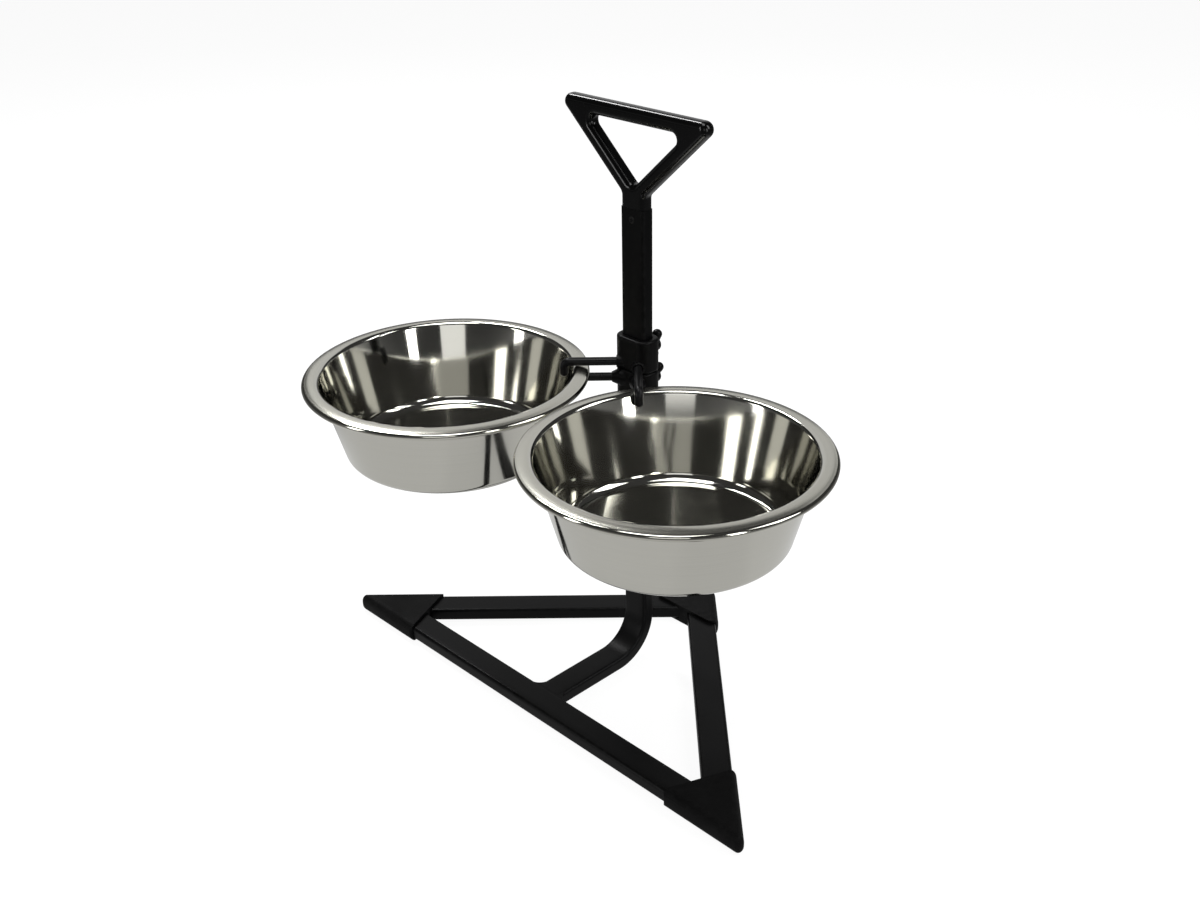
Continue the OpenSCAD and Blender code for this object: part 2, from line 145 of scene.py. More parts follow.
def lay_table():
    w = table_half
    mesh = bpy.data.meshes.new("floor")
    mesh.from_pydata([(-w, -w, 0), (w, -w, 0), (w, w, 0), (-w, w, 0)], [], [(0, 1, 2, 3)])
    floor = new_piece("floor", mesh)
    material, tree, surface = new_material("white_table")
    seen, mirrored = seen_and_mirrored(tree)
    place = add_node(tree, "ShaderNodeTexCoord").outputs["Object"]
    away = reckon(tree, "LENGTH", place, kind="ShaderNodeVectorMath")["Value"]
    # A painted pool of light: the table glows brightest near the stand and dims further off, only where metal
    # mirrors it.
    painted_pool = eased(tree, away, painted_pool_near, painted_pool_far, painted_pool_bright, painted_pool_dim)
    in_metal = reckon(tree, "MULTIPLY", mirrored, painted_pool)[0]
    strength = reckon(tree, "MULTIPLY_ADD", seen, table_seen, in_metal)[0]
    matt = add_node(tree, "ShaderNodeBsdfDiffuse", Color=table_tone)
    glow = add_node(tree, "ShaderNodeEmission", Strength=strength)
    both = add_node(tree, "ShaderNodeAddShader")
    feed(tree, both.inputs[0], matt.outputs[0])
    feed(tree, both.inputs[1], glow.outputs[0])
    feed(tree, surface, both.outputs[0])
    mesh.materials.append(material)


def light_room():
    room = bpy.data.worlds.new("room")
    room.use_nodes = True
    tree = room.node_tree
    way = add_node(tree, "ShaderNodeTexCoord").outputs["Generated"]
    rise = add_node(tree, "ShaderNodeSeparateXYZ", Vector=way).outputs["Z"]
    # A painted pale band that fades from the horizon up into the dim room, shown only where metal mirrors the
    # room.
    painted_band = eased(tree, rise, 0, painted_band_top, painted_band_pale, room_dim)
    seen, mirrored = seen_and_mirrored(tree)
    in_metal = mix(tree, "FLOAT", mirrored, room_dim, painted_band)
    wall = tree.nodes["Background"]
    feed(tree, wall.inputs["Color"], (1, 1, 1, 1))
    feed(tree, wall.inputs["Strength"], mix(tree, "FLOAT", seen, in_metal, wall_seen))
    scene.world = room


def soft_lamp(name, place, width, height, watts):
    lamp = bpy.data.lights.new(name, "AREA")
    lamp.shape = "RECTANGLE"
    lamp.size, lamp.size_y, lamp.energy = width, height, watts
    holder = new_piece(name, lamp)
    holder.location = place
    holder.rotation_euler = (lamp_aim - Vector(place)).to_track_quat("-Z", "Y").to_euler()


lay_table()
light_room()
soft_lamp("lamp_left", (-1.3, 0.2, 2.1), 0.25, 0.9, 26)
soft_lamp("lamp_right", (1.5, 0.9, 1.6), 0.7, 1.3, 18)
soft_lamp("lamp_above", (0.1, -0.3, 2.3), 1.0, 1.0, 18)
soft_lamp("lamp_behind", (-1.5, 1.5, 1.45), 2.4, 1.6, 8)
soft_lamp("lamp_front_left", (-0.9, -2.0, 0.75), 0.35, 1.3, 10)
soft_lamp("lamp_front_right", (2.1, -0.3, 0.75), 0.35, 1.3, 10)
soft_lamp("lamp_front", (1.35, -1.55, 0.95), 0.9, 0.9, 3)


# Base tubes
# Three lengths of flat steel tube with rounded corners, lying on their wide faces.
# They are mitred at the three corners of the base and powder coated black.

base_len, base_depth = 0.472, 0.236
tube_w, tube_h, tube_r = 0.025, 0.012, 0.0028
tip_cut = {"front": 0.0023, "rear": 0.0006}
bend_steps, corner_steps = 28, 7
merge_gap, crease = 1e-6, math.radians(40)
pebble_depth, scuff_scale, scuff_low, scuff_high = 0.0003, 160.0, 0.42, 0.68

post_low, post_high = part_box("post")
post_x = (post_low.x + post_high.x) / 2
post_y = post_high.y - tube_h / 2
tube_low, tube_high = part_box("base_tube_front")
tube_z = (tube_low.z + tube_high.z) / 2
left_corner = Vector((post_x - base_len / 2, tube_low.y, tube_z))
right_corner = Vector((post_x + base_len / 2, tube_low.y, tube_z))
rear_corner = Vector((post_x, tube_low.y + base_depth, tube_z))
base_corners = (left_corner, right_corner, rear_corner)
base_middle = (left_corner + right_corner + rear_corner) / 3


def node_tree(name, sizes):
    """A tree that shapes a line, with a named input for each size and one for the finish."""
    tree = bpy.data.node_groups.new(name, "GeometryNodeTree")
    tree.is_modifier = True
    for size, kind in [("Line", "Geometry"), *sizes, ("Finish", "Material")]:
        tree.interface.new_socket(size, in_out="INPUT", socket_type="NodeSocket" + kind)
    tree.interface.new_socket("Shape", in_out="OUTPUT", socket_type="NodeSocketGeometry")
    return tree, tree.nodes.new("NodeGroupInput").outputs


def end_tree(tree, given, shape):
    smooth = add_node(tree, "GeometryNodeSetShadeSmooth", Geometry=shape)
    real = add_node(tree, "GeometryNodeRealizeInstances", Geometry=smooth.outputs[0])
    finish = add_node(tree, "GeometryNodeSetMaterial", Geometry=real.outputs[0], Material=given["Finish"])
    add_node(tree, "NodeGroupOutput", Shape=finish.outputs[0])


def plain_mesh(piece):
    """What a piece's modifiers make of it."""
    bpy.context.view_layer.update()
    return bpy.data.meshes.new_from_object(piece.evaluated_get(bpy.context.evaluated_depsgraph_get()))


def tidy_mesh(mesh):
    bm = bmesh.new()
    bm.from_mesh(mesh)
    bmesh.ops.remove_doubles(bm, verts=bm.verts, dist=merge_gap)
    bmesh.ops.recalc_face_normals(bm, faces=bm.faces)
    bm.to_mesh(mesh)
    bm.free()
    mesh.shade_smooth()
    mesh.set_sharp_from_angle(angle=crease)


def shaped(name, tree, points, finish, **sizes):
    """The piece that a tree makes of a line through the points."""
    line = bpy.data.meshes.new(name + "_line")
    line.from_pydata(points, [(i, i + 1) for i in range(len(points) - 1)], [])
    holder = new_piece(name + "_line", line)
    shaper = holder.modifiers.new("shape", "NODES")
    shaper.node_group = tree
    sizes["finish"] = finish
    for item in tree.interface.items_tree:
        size = item.name.replace(" ", "_").lower()
        if size in sizes:
            shaper[item.identifier] = sizes[size]
    mesh = plain_mesh(holder)
    bpy.data.objects.remove(holder)
    mesh.name = name
    tidy_mesh(mesh)
    return new_piece(name, mesh)


def mark_edges(mesh, radius):
    """Keeps on each point how tightly the surface bends outwards there, 1 at the given radius."""
    bm = bmesh.new()
    bm.from_mesh(mesh)
    bend = [0.0] * len(bm.verts)
    for edge in bm.edges:
        if len(edge.link_faces) == 2:
            a, b = edge.link_faces
            apart = (a.calc_center_median() - b.calc_center_median()).length
            turn = edge.calc_face_angle_signed(0) / max(apart, merge_gap) * radius
            for v in edge.verts:
                bend[v.index] = max(bend[v.index], min(turn, 1.0))
    bm.free()
    mesh.attributes.new("edge", "FLOAT", "POINT").data.foreach_set("value", bend)


def flat_tube_tree():
    tree, given = node_tree("flat_tube", [
        ("Width", "Float"), ("Height", "Float"), ("Corner", "Float"), ("Bend", "Float")])
    path = add_node(tree, "GeometryNodeMeshToCurve", Mesh=given["Line"])
    bent = add_node(tree, "GeometryNodeFilletCurve", {"mode": "POLY"},
                    Curve=path.outputs[0], Radius=given["Bend"], Count=bend_steps)
    outline = add_node(tree, "GeometryNodeCurvePrimitiveQuadrilateral",
                       Width=given["Width"], Height=given["Height"])
    held = add_node(tree, "GeometryNodeSubdivideCurve", Curve=outline.outputs[0], Cuts=2)
    round_outline = add_node(tree, "GeometryNodeFilletCurve", {"mode": "POLY"},
                             Curve=held.outputs[0], Radius=given["Corner"], Count=corner_steps)
    tube = add_node(tree, "GeometryNodeCurveToMesh", Curve=bent.outputs[0],
                    Profile_Curve=round_outline.outputs[0], Fill_Caps=True)
    end_tree(tree, given, tube.outputs[0])
    return tree


def shader_group(name, inputs, outputs):
    group = bpy.data.node_groups.new(name, "ShaderNodeTree")
    for socket, default in inputs:
        kind = "NodeSocketVector" if isinstance(default, tuple) else "NodeSocketFloat"
        group.interface.new_socket(socket, in_out="INPUT", socket_type=kind).default_value = default
    for socket in outputs:
        group.interface.new_socket(socket, in_out="OUTPUT", socket_type="NodeSocketFloat")
    return group, group.nodes.new("NodeGroupInput").outputs, group.nodes.new("NodeGroupOutput").inputs


def black_finish_group():
    """The finish of every black piece: a fine pebble, a slow drift in its gloss, and rubbed edges."""
    group, given, out = shader_group(
        "black_finish", [("Grain", 900.0), ("Drift", 25.0), ("Rubbing", 0.5)], ["Height", "Drift", "Rubbed"])
    place = add_node(group, "ShaderNodeTexCoord").outputs["Object"]
    grain = add_node(group, "ShaderNodeTexNoise", Vector=place, Scale=given["Grain"], Detail=2.0)
    drift = add_node(group, "ShaderNodeTexNoise", Vector=place, Scale=given["Drift"], Detail=4.0)
    scuff = add_node(group, "ShaderNodeTexNoise", Vector=place, Scale=scuff_scale, Detail=5.0, Roughness=0.65)
    patchy = add_node(group, "ShaderNodeMapRange", Value=scuff.outputs[0],
                      From_Min=scuff_low, From_Max=scuff_high, To_Min=0.0, To_Max=1.0)
    edge = add_node(group, "ShaderNodeAttribute", {"attribute_name": "edge"})
    worn = reckon(group, "MULTIPLY", edge.outputs["Fac"], patchy.outputs[0])[0]
    feed(group, out["Height"], grain.outputs[0])
    feed(group, out["Drift"], drift.outputs[0])
    feed(group, out["Rubbed"], reckon(group, "MULTIPLY", worn, given["Rubbing"], use_clamp=True)[0])
    return group


black_finish = black_finish_group()


def black_material(name, colour, pale, worn, gloss, grain, drift, rubbing, bump, specular):
    """colour to pale follows the drift, worn shows on rubbed edges, gloss is (least, most, worn) roughness."""
    material, tree, surface = new_material(name)
    finish = add_node(tree, "ShaderNodeGroup", {"node_tree": black_finish},
                      Grain=grain, Drift=drift, Rubbing=rubbing).outputs
    tone = mix(tree, "RGBA", finish["Drift"], (*colour, 1), (*pale, 1))
    least, most, rubbed = gloss
    dull = spread(tree, finish["Drift"], least, most)
    relief = add_node(tree, "ShaderNodeBump", Strength=bump, Distance=pebble_depth, Height=finish["Height"])
    coat = add_node(tree, "ShaderNodeBsdfPrincipled",
                    Base_Color=mix(tree, "RGBA", finish["Rubbed"], tone, (*worn, 1)),
                    Roughness=mix(tree, "FLOAT", finish["Rubbed"], dull, rubbed),
                    Normal=relief.outputs[0], Specular_IOR_Level=specular)
    feed(tree, surface, coat.outputs[0])
    return material


def cut_off(mesh, point, away):
    """Takes off what lies beyond a plane and closes the cut."""
    bm = bmesh.new()
    bm.from_mesh(mesh)
    cut = bmesh.ops.bisect_plane(bm, geom=bm.verts[:] + bm.edges[:] + bm.faces[:],
                                 plane_co=point, plane_no=away, clear_outer=True)
    ring = [e for e in cut["geom_cut"] if isinstance(e, bmesh.types.BMEdge)]
    bmesh.ops.holes_fill(bm, edges=ring, sides=0)
    bm.to_mesh(mesh)
    bm.free()


def runs_from(corner):
    """The ways along the base's two sides that meet at a corner."""
    return [(other - corner).normalized() for other in base_corners if other is not corner]


flat_tube = flat_tube_tree()
powder_coat = black_material(
    "powder_coat", colour=(0.0016, 0.0016, 0.0017), pale=(0.003, 0.003, 0.0032), worn=(0.012, 0.012, 0.0125),
    gloss=(0.30, 0.42, 0.28), grain=1100, drift=18, rubbing=0.5, bump=0.10, specular=0.10)


def base_tube(node, start, end, trims):
    run = (end - start).normalized()
    inwards = Vector((-run.y, run.x, 0))
    if inwards.dot(base_middle - start) < 0:
        inwards = -inwards
    offset = inwards * tube_w / 2
    piece = shaped(node + "_coated", flat_tube, [start + offset, end + offset], powder_coat,
                   width=tube_w, height=tube_h, corner=tube_r, bend=0.0)
    for corner, along, trim in ((start, run, trims[0]), (end, -run, trims[1])):
        bisector = sum(runs_from(corner), Vector()).normalized()
        mitre = Vector((-bisector.y, bisector.x, 0))
        cut_off(piece.data, corner, mitre if mitre.dot(along) < 0 else -mitre)
        cut_off(piece.data, corner + bisector * trim, -bisector)
    tidy_mesh(piece.data)
    mark_edges(piece.data, tube_r)
    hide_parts(node)
    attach(piece, "stand")


base_tube("base_tube_front", left_corner, right_corner, (tip_cut["front"], tip_cut["front"]))
base_tube("base_tube_left", left_corner, rear_corner, (tip_cut["front"], tip_cut["rear"]))
base_tube("base_tube_right", right_corner, rear_corner, (tip_cut["front"], tip_cut["rear"]))


# Corner caps
# Arrowhead mouldings of matt black plastic, pushed over the mitred tubes.
# Their undersides are the feet, and their edges are softly rounded by the mould.

cap_side, cap_fit, cap_web = 0.0029, 0.00015, 0.0054
cap_tip_r, cap_edge = 0.0045, 0.0072
cap_ear_r, ear_cuts = {"front": 0.003, "rear": 0.007}, 11
arc_step, edge_steps = 7, 7
kept_r, flat_in = 0.95, 1.02


def rounded_loop(points):
    """A loop through (x, y, radius) corners: each point, its way out, its room inwards, its slide past that."""
    loop = []
    for i, (x, y, r) in enumerate(points):
        corner = Vector((x, y))
        ahead = (Vector(points[(i + 1) % len(points)][:2]) - corner).normalized()
        behind = (corner - Vector(points[i - 1][:2])).normalized()
        turn = math.atan2(behind.x * ahead.y - behind.y * ahead.x, behind.dot(ahead))
        way = Vector((behind.y, -behind.x))
        bulge = r if turn > 0 else -r
        middle = corner - behind * abs(r * math.tan(turn / 2)) - way * bulge
        slide = Matrix.Rotation(turn / 2, 2) @ way / math.cos(turn / 2)
        room = r * kept_r if bulge > 0 else math.inf
        count = math.ceil(math.degrees(abs(turn)) / arc_step)
        for k in range(count + 1):
            out = Matrix.Rotation(turn * k / count, 2) @ way
            loop.append((middle + out * bulge, out, room, slide))
    return loop


def lofted(name, loops, low, high, edge, place):
    """A plate with the given loops from low to high, its edges rounded, carried to its place."""
    quarter = [math.radians(90 * k / edge_steps) for k in range(edge_steps + 1)]
    layers = [(edge * (1 - math.cos(a)), low + edge - edge * math.sin(a)) for a in reversed(quarter)]
    layers += [(inset, low + high - level) for inset, level in reversed(layers)]
    layers = [(edge * flat_in, low)] + layers + [(edge * flat_in, high)]
    bm = bmesh.new()
    ends = ([], [])
    for loop in loops:
        rings = [[bm.verts.new((*(p - out * min(inset, room) - slide * max(0, inset - room)), level))
                  for p, out, room, slide in loop] for inset, level in layers]
        for near, far in zip(rings, rings[1:]):
            for i in range(len(loop)):
                bm.faces.new((near[i - 1], near[i], far[i], far[i - 1]))
        for ring, end in ((rings[0], ends[0]), (rings[-1], ends[1])):
            end += [bm.edges.get((ring[i - 1], ring[i])) for i in range(len(ring))]
    for end in ends:
        bmesh.ops.triangle_fill(bm, use_beauty=True, edges=end)
    bm.transform(place)
    mesh = bpy.data.meshes.new(name)
    bm.to_mesh(mesh)
    bm.free()
    tidy_mesh(mesh)
    return new_piece(name, mesh)


def cut_out(piece, blocks, place):
    """Takes blocks out of a piece: each is a loop of points that runs from one level to another."""
    bm = bmesh.new()
    for points, low, high in blocks:
        face = bm.faces.new([bm.verts.new((*p, low)) for p in points])
        sides = bmesh.ops.extrude_face_region(bm, geom=[face])["geom"]
        top = [v for v in sides if isinstance(v, bmesh.types.BMVert)]
        bmesh.ops.translate(bm, vec=(0, 0, high - low), verts=top)
    bm.transform(place)
    mesh = bpy.data.meshes.new("tool")
    bm.to_mesh(mesh)
    bm.free()
    tidy_mesh(mesh)
    tool = new_piece("tool", mesh)
    cut = piece.modifiers.new("cut", "BOOLEAN")
    cut.operation, cut.solver, cut.object, cut.use_self = "DIFFERENCE", "EXACT", tool, True
    done = plain_mesh(piece)
    piece.modifiers.clear()
    piece.data = done
    bpy.data.objects.remove(tool)
    tidy_mesh(done)


cap_plastic = black_material(
    "cap_plastic", colour=(0.0020, 0.0020, 0.0021), pale=(0.0036, 0.0036, 0.0037), worn=(0.012, 0.012, 0.012),
    gloss=(0.58, 0.72, 0.52), grain=1500, drift=40, rubbing=0.45, bump=0.30, specular=0.10)


def corner_cap(corner, at, trim, ear_r):
    runs = runs_from(at)
    inwards = (runs[0] + runs[1]).normalized()
    half = runs[0].angle(runs[1]) / 2
    low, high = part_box("cap_" + corner)
    place = Matrix.Translation((at.x, at.y, 0)) @ Matrix.Rotation(math.atan2(inwards.y, inwards.x), 4, "Z")
    sharp = -(cap_side + cap_fit) / math.sin(half)
    crotch = (tube_w + cap_fit) / math.sin(half)
    back = crotch + cap_web
    spare = back + 3 * cap_edge
    ear = (spare - sharp) * math.tan(half)
    arrow = [(sharp, 0, cap_tip_r), (spare, -ear, cap_edge), (spare, ear, cap_edge)]
    cap = lofted("corner_cap_" + corner, [rounded_loop(arrow)], low.z, high.z, cap_edge, place)

    cut_off(cap.data, at + inwards * back, inwards)
    ear_x = back - ear_r
    ear_y = ((ear_x - sharp) * math.sin(half) - ear_r) / math.cos(half)
    for side in (1, -1):
        ear_middle = Vector((ear_x, side * ear_y, 0))
        for k in range(ear_cuts):
            turn = side * (math.pi / 2 + half) * (k + 1) / (ear_cuts + 1)
            way = Vector((math.cos(turn), math.sin(turn), 0))
            cut_off(cap.data, place @ (ear_middle + way * ear_r), place.to_3x3() @ way)

    tip = trim - cap_fit
    tip_side = (tip + cap_fit / math.sin(half)) * math.tan(half)
    far = Vector((tip, tip_side)) + 2 * back * Vector((math.cos(half), math.sin(half)))
    near = far + (tube_w + 2 * cap_fit) * Vector((math.sin(half), -math.cos(half)))
    pocket = [(tip, -tip_side), (far.x, -far.y), (near.x, -near.y), (crotch, 0), near, far, (tip, tip_side)]
    room = tube_h / 2 + cap_fit
    cut_out(cap, [(pocket, tube_z - room, tube_z + room)], place)
    cap.data.materials.append(cap_plastic)
    mark_edges(cap.data, cap_edge)
    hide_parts("cap_" + corner)
    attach(cap, "stand")


corner_cap("left", left_corner, tip_cut["front"], cap_ear_r["front"])
corner_cap("right", right_corner, tip_cut["front"], cap_ear_r["front"])
corner_cap("rear", rear_corner, tip_cut["rear"], cap_ear_r["rear"])


# Post
# One more length of the same tube: its foot is butted on the middle of the front tube and welded
# all round, with the weld ground flush on top, then it bends up and carries on to the handle.

bend_r = 0.036
foot_x = tube_w / 2
fillet, fillet_r, fillet_out = 0.008, 0.012, 0.0008
weld_back, weld_back_in, weld_back_r = 0.0036, 0.001, 0.0008
weld_end_in, weld_end_r, weld_edge = 0.002, 0.0001, 0.0003
weld_sunk, weld_lift = 0.0001, 0.001

post = shaped("post_coated", flat_tube,
              [(post_x, post_low.y, tube_z), (post_x, post_y, tube_z), (post_x, post_y, post_high.z)],
              powder_coat, width=tube_w, height=tube_h, corner=tube_r, bend=bend_r)
mark_edges(post.data, tube_r)
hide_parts("post")
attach(post, "stand")

weld_half = [(foot_x - weld_back_in, -weld_back, weld_back_r), (foot_x + fillet, -weld_end_in, weld_end_r),
             (foot_x + fillet_out, fillet_out, fillet_r), (foot_x - weld_end_in, fillet, weld_end_r)]
weld_plan = weld_half + [(-x, y, r) for x, y, r in reversed(weld_half)]
weld = lofted("foot_weld", [rounded_loop(weld_plan)], tube_z - tube_h / 2 + weld_lift,
              tube_z + tube_h / 2 - weld_sunk, weld_edge, Matrix.Translation((post_x, post_low.y, 0)))
weld.data.materials.append(powder_coat)
mark_edges(weld.data, weld_edge)
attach(weld, "stand")


# Handle
# A glossy black moulding: a triangle of soft-edged bars on a collar that sits on the
# post's end, with a plug inside the tube. A small screw through the post holds the plug.

bar_w, bar_t, bar_edge = 0.013, 0.0126, 0.0052
corner_r, inner_r, foot_r = 0.0066, 0.005, 1.1 * bar_edge
collar_w, vee_rise, seam = 0.02530, 0.008, 0.0003
plug_w, plug_t, plug_r = 0.0216, 0.0086, 0.0013
plug_edge = 0.8 * plug_r
head_r, head_h, head_dome = 0.003, 0.0015, 0.0001
head_crown = ((0.0012, 1.0), (0.0022, 0.8), (0.0028, 0.3))
shank_r, point_r, point_len, screw_len = 0.0016, 0.0013, 0.0004, 0.008
screw_sides, screw_wear_r = 40, 0.0006
recess_w, recess_l, recess_depth = 0.0004, 0.0017, 0.0011

handle_low, handle_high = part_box("handle")
post_end = Matrix.Translation((post_x, post_y, post_high.z))
face_front = Matrix.Rotation(math.radians(90), 4, "X")


def handle_loops():
    """The outline of collar and triangle, and the finger hole, in x and height above the post's end."""
    width, rise = (handle_high.x - handle_low.x) / 2, handle_high.z - post_high.z
    foot = Vector((0, vee_rise))
    run = (Vector((width - corner_r, rise - corner_r)) - foot).normalized()
    aside = Vector((run.y, -run.x)) * bar_w / 2
    outer, inner = foot + aside, foot - aside
    join = outer + run * (collar_w / 2 - outer.x) / run.x
    tip = outer + run * (rise - outer.y) / run.y
    apex = inner - run * inner.x / run.x
    shoulder = inner + run * (rise - bar_w - inner.y) / run.y
    foot_z = -3 * foot_r
    outside = [(-collar_w / 2, foot_z, foot_r), (collar_w / 2, foot_z, foot_r), (join.x, join.y, inner_r),
               (tip.x, tip.y, corner_r), (-tip.x, tip.y, corner_r), (-join.x, join.y, inner_r)]
    hole = [(0, apex.y, inner_r), (-shoulder.x, shoulder.y, inner_r), (shoulder.x, shoulder.y, inner_r)]
    return rounded_loop(outside), rounded_loop(hole)


handle_plastic = black_material(
    "handle_plastic", colour=(0.0012, 0.0012, 0.0013), pale=(0.0020, 0.0020, 0.0021),
    worn=(0.004, 0.004, 0.004), gloss=(0.15, 0.165, 0.18),
    grain=260, drift=30, rubbing=0.12, bump=0.004, specular=0.28)
handle = lofted("handle_moulding", handle_loops(), -bar_t / 2, bar_t / 2, bar_edge, post_end @ face_front)
cut_off(handle.data, (post_x, post_y, post_high.z + seam), (0, 0, -1))
plug_x, plug_y = plug_w / 2, plug_t / 2
plug_plan = [(-plug_x, -plug_y, plug_r), (plug_x, -plug_y, plug_r),
             (plug_x, plug_y, plug_r), (-plug_x, plug_y, plug_r)]
plug = lofted("plug", [rounded_loop(plug_plan)], handle_low.z - post_high.z, bar_edge, plug_edge, post_end)
moulding = bmesh.new()
moulding.from_mesh(handle.data)
moulding.from_mesh(plug.data)
moulding.to_mesh(handle.data)
moulding.free()
bpy.data.objects.remove(plug)
tidy_mesh(handle.data)
handle.data.materials.append(handle_plastic)
mark_edges(handle.data, bar_edge)
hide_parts("handle")
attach(handle, "stand")


def turned(name, profile, around, sides):
    """A closed shape turned about the Y axis from (radius, y) points, its ends on the axis."""
    bm = bmesh.new()
    rings = []
    for r, y in profile:
        if r == 0:
            rings.append([bm.verts.new((around.x, around.y + y, around.z))])
        else:
            rings.append([bm.verts.new((around.x + r * math.cos(a), around.y + y, around.z + r * math.sin(a)))
                          for a in (2 * math.pi * i / sides for i in range(sides))])
    for near, far in zip(rings, rings[1:]):
        for i in range(sides):
            face = [near[i % len(near)], near[(i + 1) % len(near)], far[(i + 1) % len(far)], far[i % len(far)]]
            bm.faces.new(dict.fromkeys(face))
    mesh = bpy.data.meshes.new(name)
    bm.to_mesh(mesh)
    bm.free()
    return new_piece(name, mesh)


screw_low, screw_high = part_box("handle_screw")
screw_at = Vector((post_x, screw_low.y, (screw_low.z + screw_high.z) / 2))
handle_screw = turned("handle_screw_black", [
    (0, -head_dome), *((r, -rise * head_dome) for r, rise in head_crown), (head_r, head_dome),
    (shank_r, head_h), (shank_r, screw_len - point_len), (point_r, screw_len), (0, screw_len)],
    screw_at, screw_sides)
tidy_mesh(handle_screw.data)
cross = [([(-w, -h), (w, -h), (w, h), (-w, h)], -recess_depth, recess_depth)
         for w, h in ((recess_l, recess_w), (recess_w, recess_l))]
cut_out(handle_screw, cross, Matrix.Translation(screw_at) @ face_front)
handle_screw.data.materials.append(black_material(
    "blackened_screw", colour=(0.005, 0.005, 0.005), pale=(0.009, 0.009, 0.009), worn=(0.04, 0.04, 0.04),
    gloss=(0.30, 0.42, 0.25), grain=1800, drift=200, rubbing=0.6, bump=0.08, specular=0.2))
mark_edges(handle_screw.data, screw_wear_r)
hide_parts("handle_screw")
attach(handle_screw, "stand")


# Lower clamp
# A moulded black sleeve that slides on the post, with a cone for each straight steel stay.
# A wing knob behind it drives a zinc-plated screw through a captive nut against the post.

clamp_grid, clamp_passes, knob_grid, knob_passes = 0.00045, 6, 0.0004, 5
moulded_wear_r = 0.0015
thread_pitch, thread_depth, thread_sides, thread_steps = 0.001, 0.0006, 30, 12
hub_r, hub_len, hub_edge, hub_sides = 0.006, 0.009, 0.0006, 48
hub_taper, hub_top, hub_shoulder = 0.94, 0.7, 0.0014
bore_r, bore_len, bore_start, bore_sides = 0.00305, 0.007, -0.002, 30
wing_reach, wing_flare, wing_tip_r, wing_root_r = 0.0136, 0.0065, 0.0042, 0.0031
wing_root, wing_steps, wing_sides = 0.45, 14, 32
knob_turn = {"lower": 24, "upper": 12}
rod_r, rod_start, rod_sides, rod_bend_steps = 0.0035, 0.0136, 28, 16
arm_angle = math.radians(45)
rod_wear_r = rod_r / 2
zinc_dark, zinc_pale = (0.42, 0.43, 0.45, 1), (0.62, 0.62, 0.60, 1)
zinc_gloss, zinc_bump, zinc_depth = (0.24, 0.46), 0.08, 0.0002

clamp_plastic = black_material(
    "clamp_plastic", colour=(0.0014, 0.0014, 0.0015), pale=(0.0026, 0.0026, 0.0027), worn=(0.014, 0.014, 0.014),
    gloss=(0.30, 0.42, 0.28), grain=1300, drift=45, rubbing=0.4, bump=0.15, specular=0.10)


def softened(piece, grid, passes):
    """One skin over a moulding, its edges and inner corners softened as a mould leaves them."""
    skin = piece.modifiers.new("skin", "REMESH")
    skin.mode, skin.voxel_size = "VOXEL", grid
    soften = piece.modifiers.new("soften", "SMOOTH")
    soften.factor, soften.iterations = 0.5, passes
    soft = plain_mesh(piece)
    piece.modifiers.clear()
    piece.data = soft
    soft.shade_smooth()
    soft.materials.clear()


def zinc_material():
    material, tree, surface = new_material("zinc_plate")
    place = add_node(tree, "ShaderNodeTexCoord").outputs["Object"]
    cloud = add_node(tree, "ShaderNodeTexNoise", Vector=place, Scale=420.0, Detail=4.0).outputs[0]
    rough = add_node(tree, "ShaderNodeMapRange", Value=cloud, To_Min=zinc_gloss[0], To_Max=zinc_gloss[1])
    relief = add_node(tree, "ShaderNodeBump", Strength=zinc_bump, Distance=zinc_depth, Height=cloud)
    plate = add_node(tree, "ShaderNodeBsdfPrincipled",
                     Base_Color=mix(tree, "RGBA", cloud, zinc_dark, zinc_pale),
                     Roughness=rough.outputs[0], Normal=relief.outputs[0], Metallic=1.0)
    feed(tree, surface, plate.outputs[0])
    return material


zinc_plate = zinc_material()


def threaded_screw(node, name, body):
    """A stud along Y with a cut thread, standing where the node stands."""
    low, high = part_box(node)
    outer_r = (high.x - low.x) / 2
    x, z = (low.x + high.x) / 2, (low.z + high.z) / 2
    length = high.y - low.y
    bm = bmesh.new()
    rows = []
    count = round(length / thread_pitch * thread_steps)
    for j in range(count + 1):
        y = length * j / count
        fade = min(1, (length - y) / thread_pitch, y / thread_pitch)
        row = []
        for i in range(thread_sides):
            turn = i / thread_sides
            groove = abs(((y / thread_pitch - turn) % 1) * 2 - 1)
            r, a = outer_r - thread_depth * groove * fade, 2 * math.pi * turn
            row.append(bm.verts.new((x + r * math.cos(a), low.y + y, z + r * math.sin(a))))
        rows.append(row)
    for near, far in zip(rows, rows[1:]):
        for i in range(thread_sides):
            bm.faces.new((near[i - 1], near[i], far[i], far[i - 1]))
    bm.faces.new(rows[0])
    bm.faces.new(rows[-1])
    mesh = bpy.data.meshes.new(name)
    bm.to_mesh(mesh)
    bm.free()
    tidy_mesh(mesh)
    mesh.materials.append(zinc_plate)
    screw = new_piece(name, mesh)
    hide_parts(node)
    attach(screw, body)


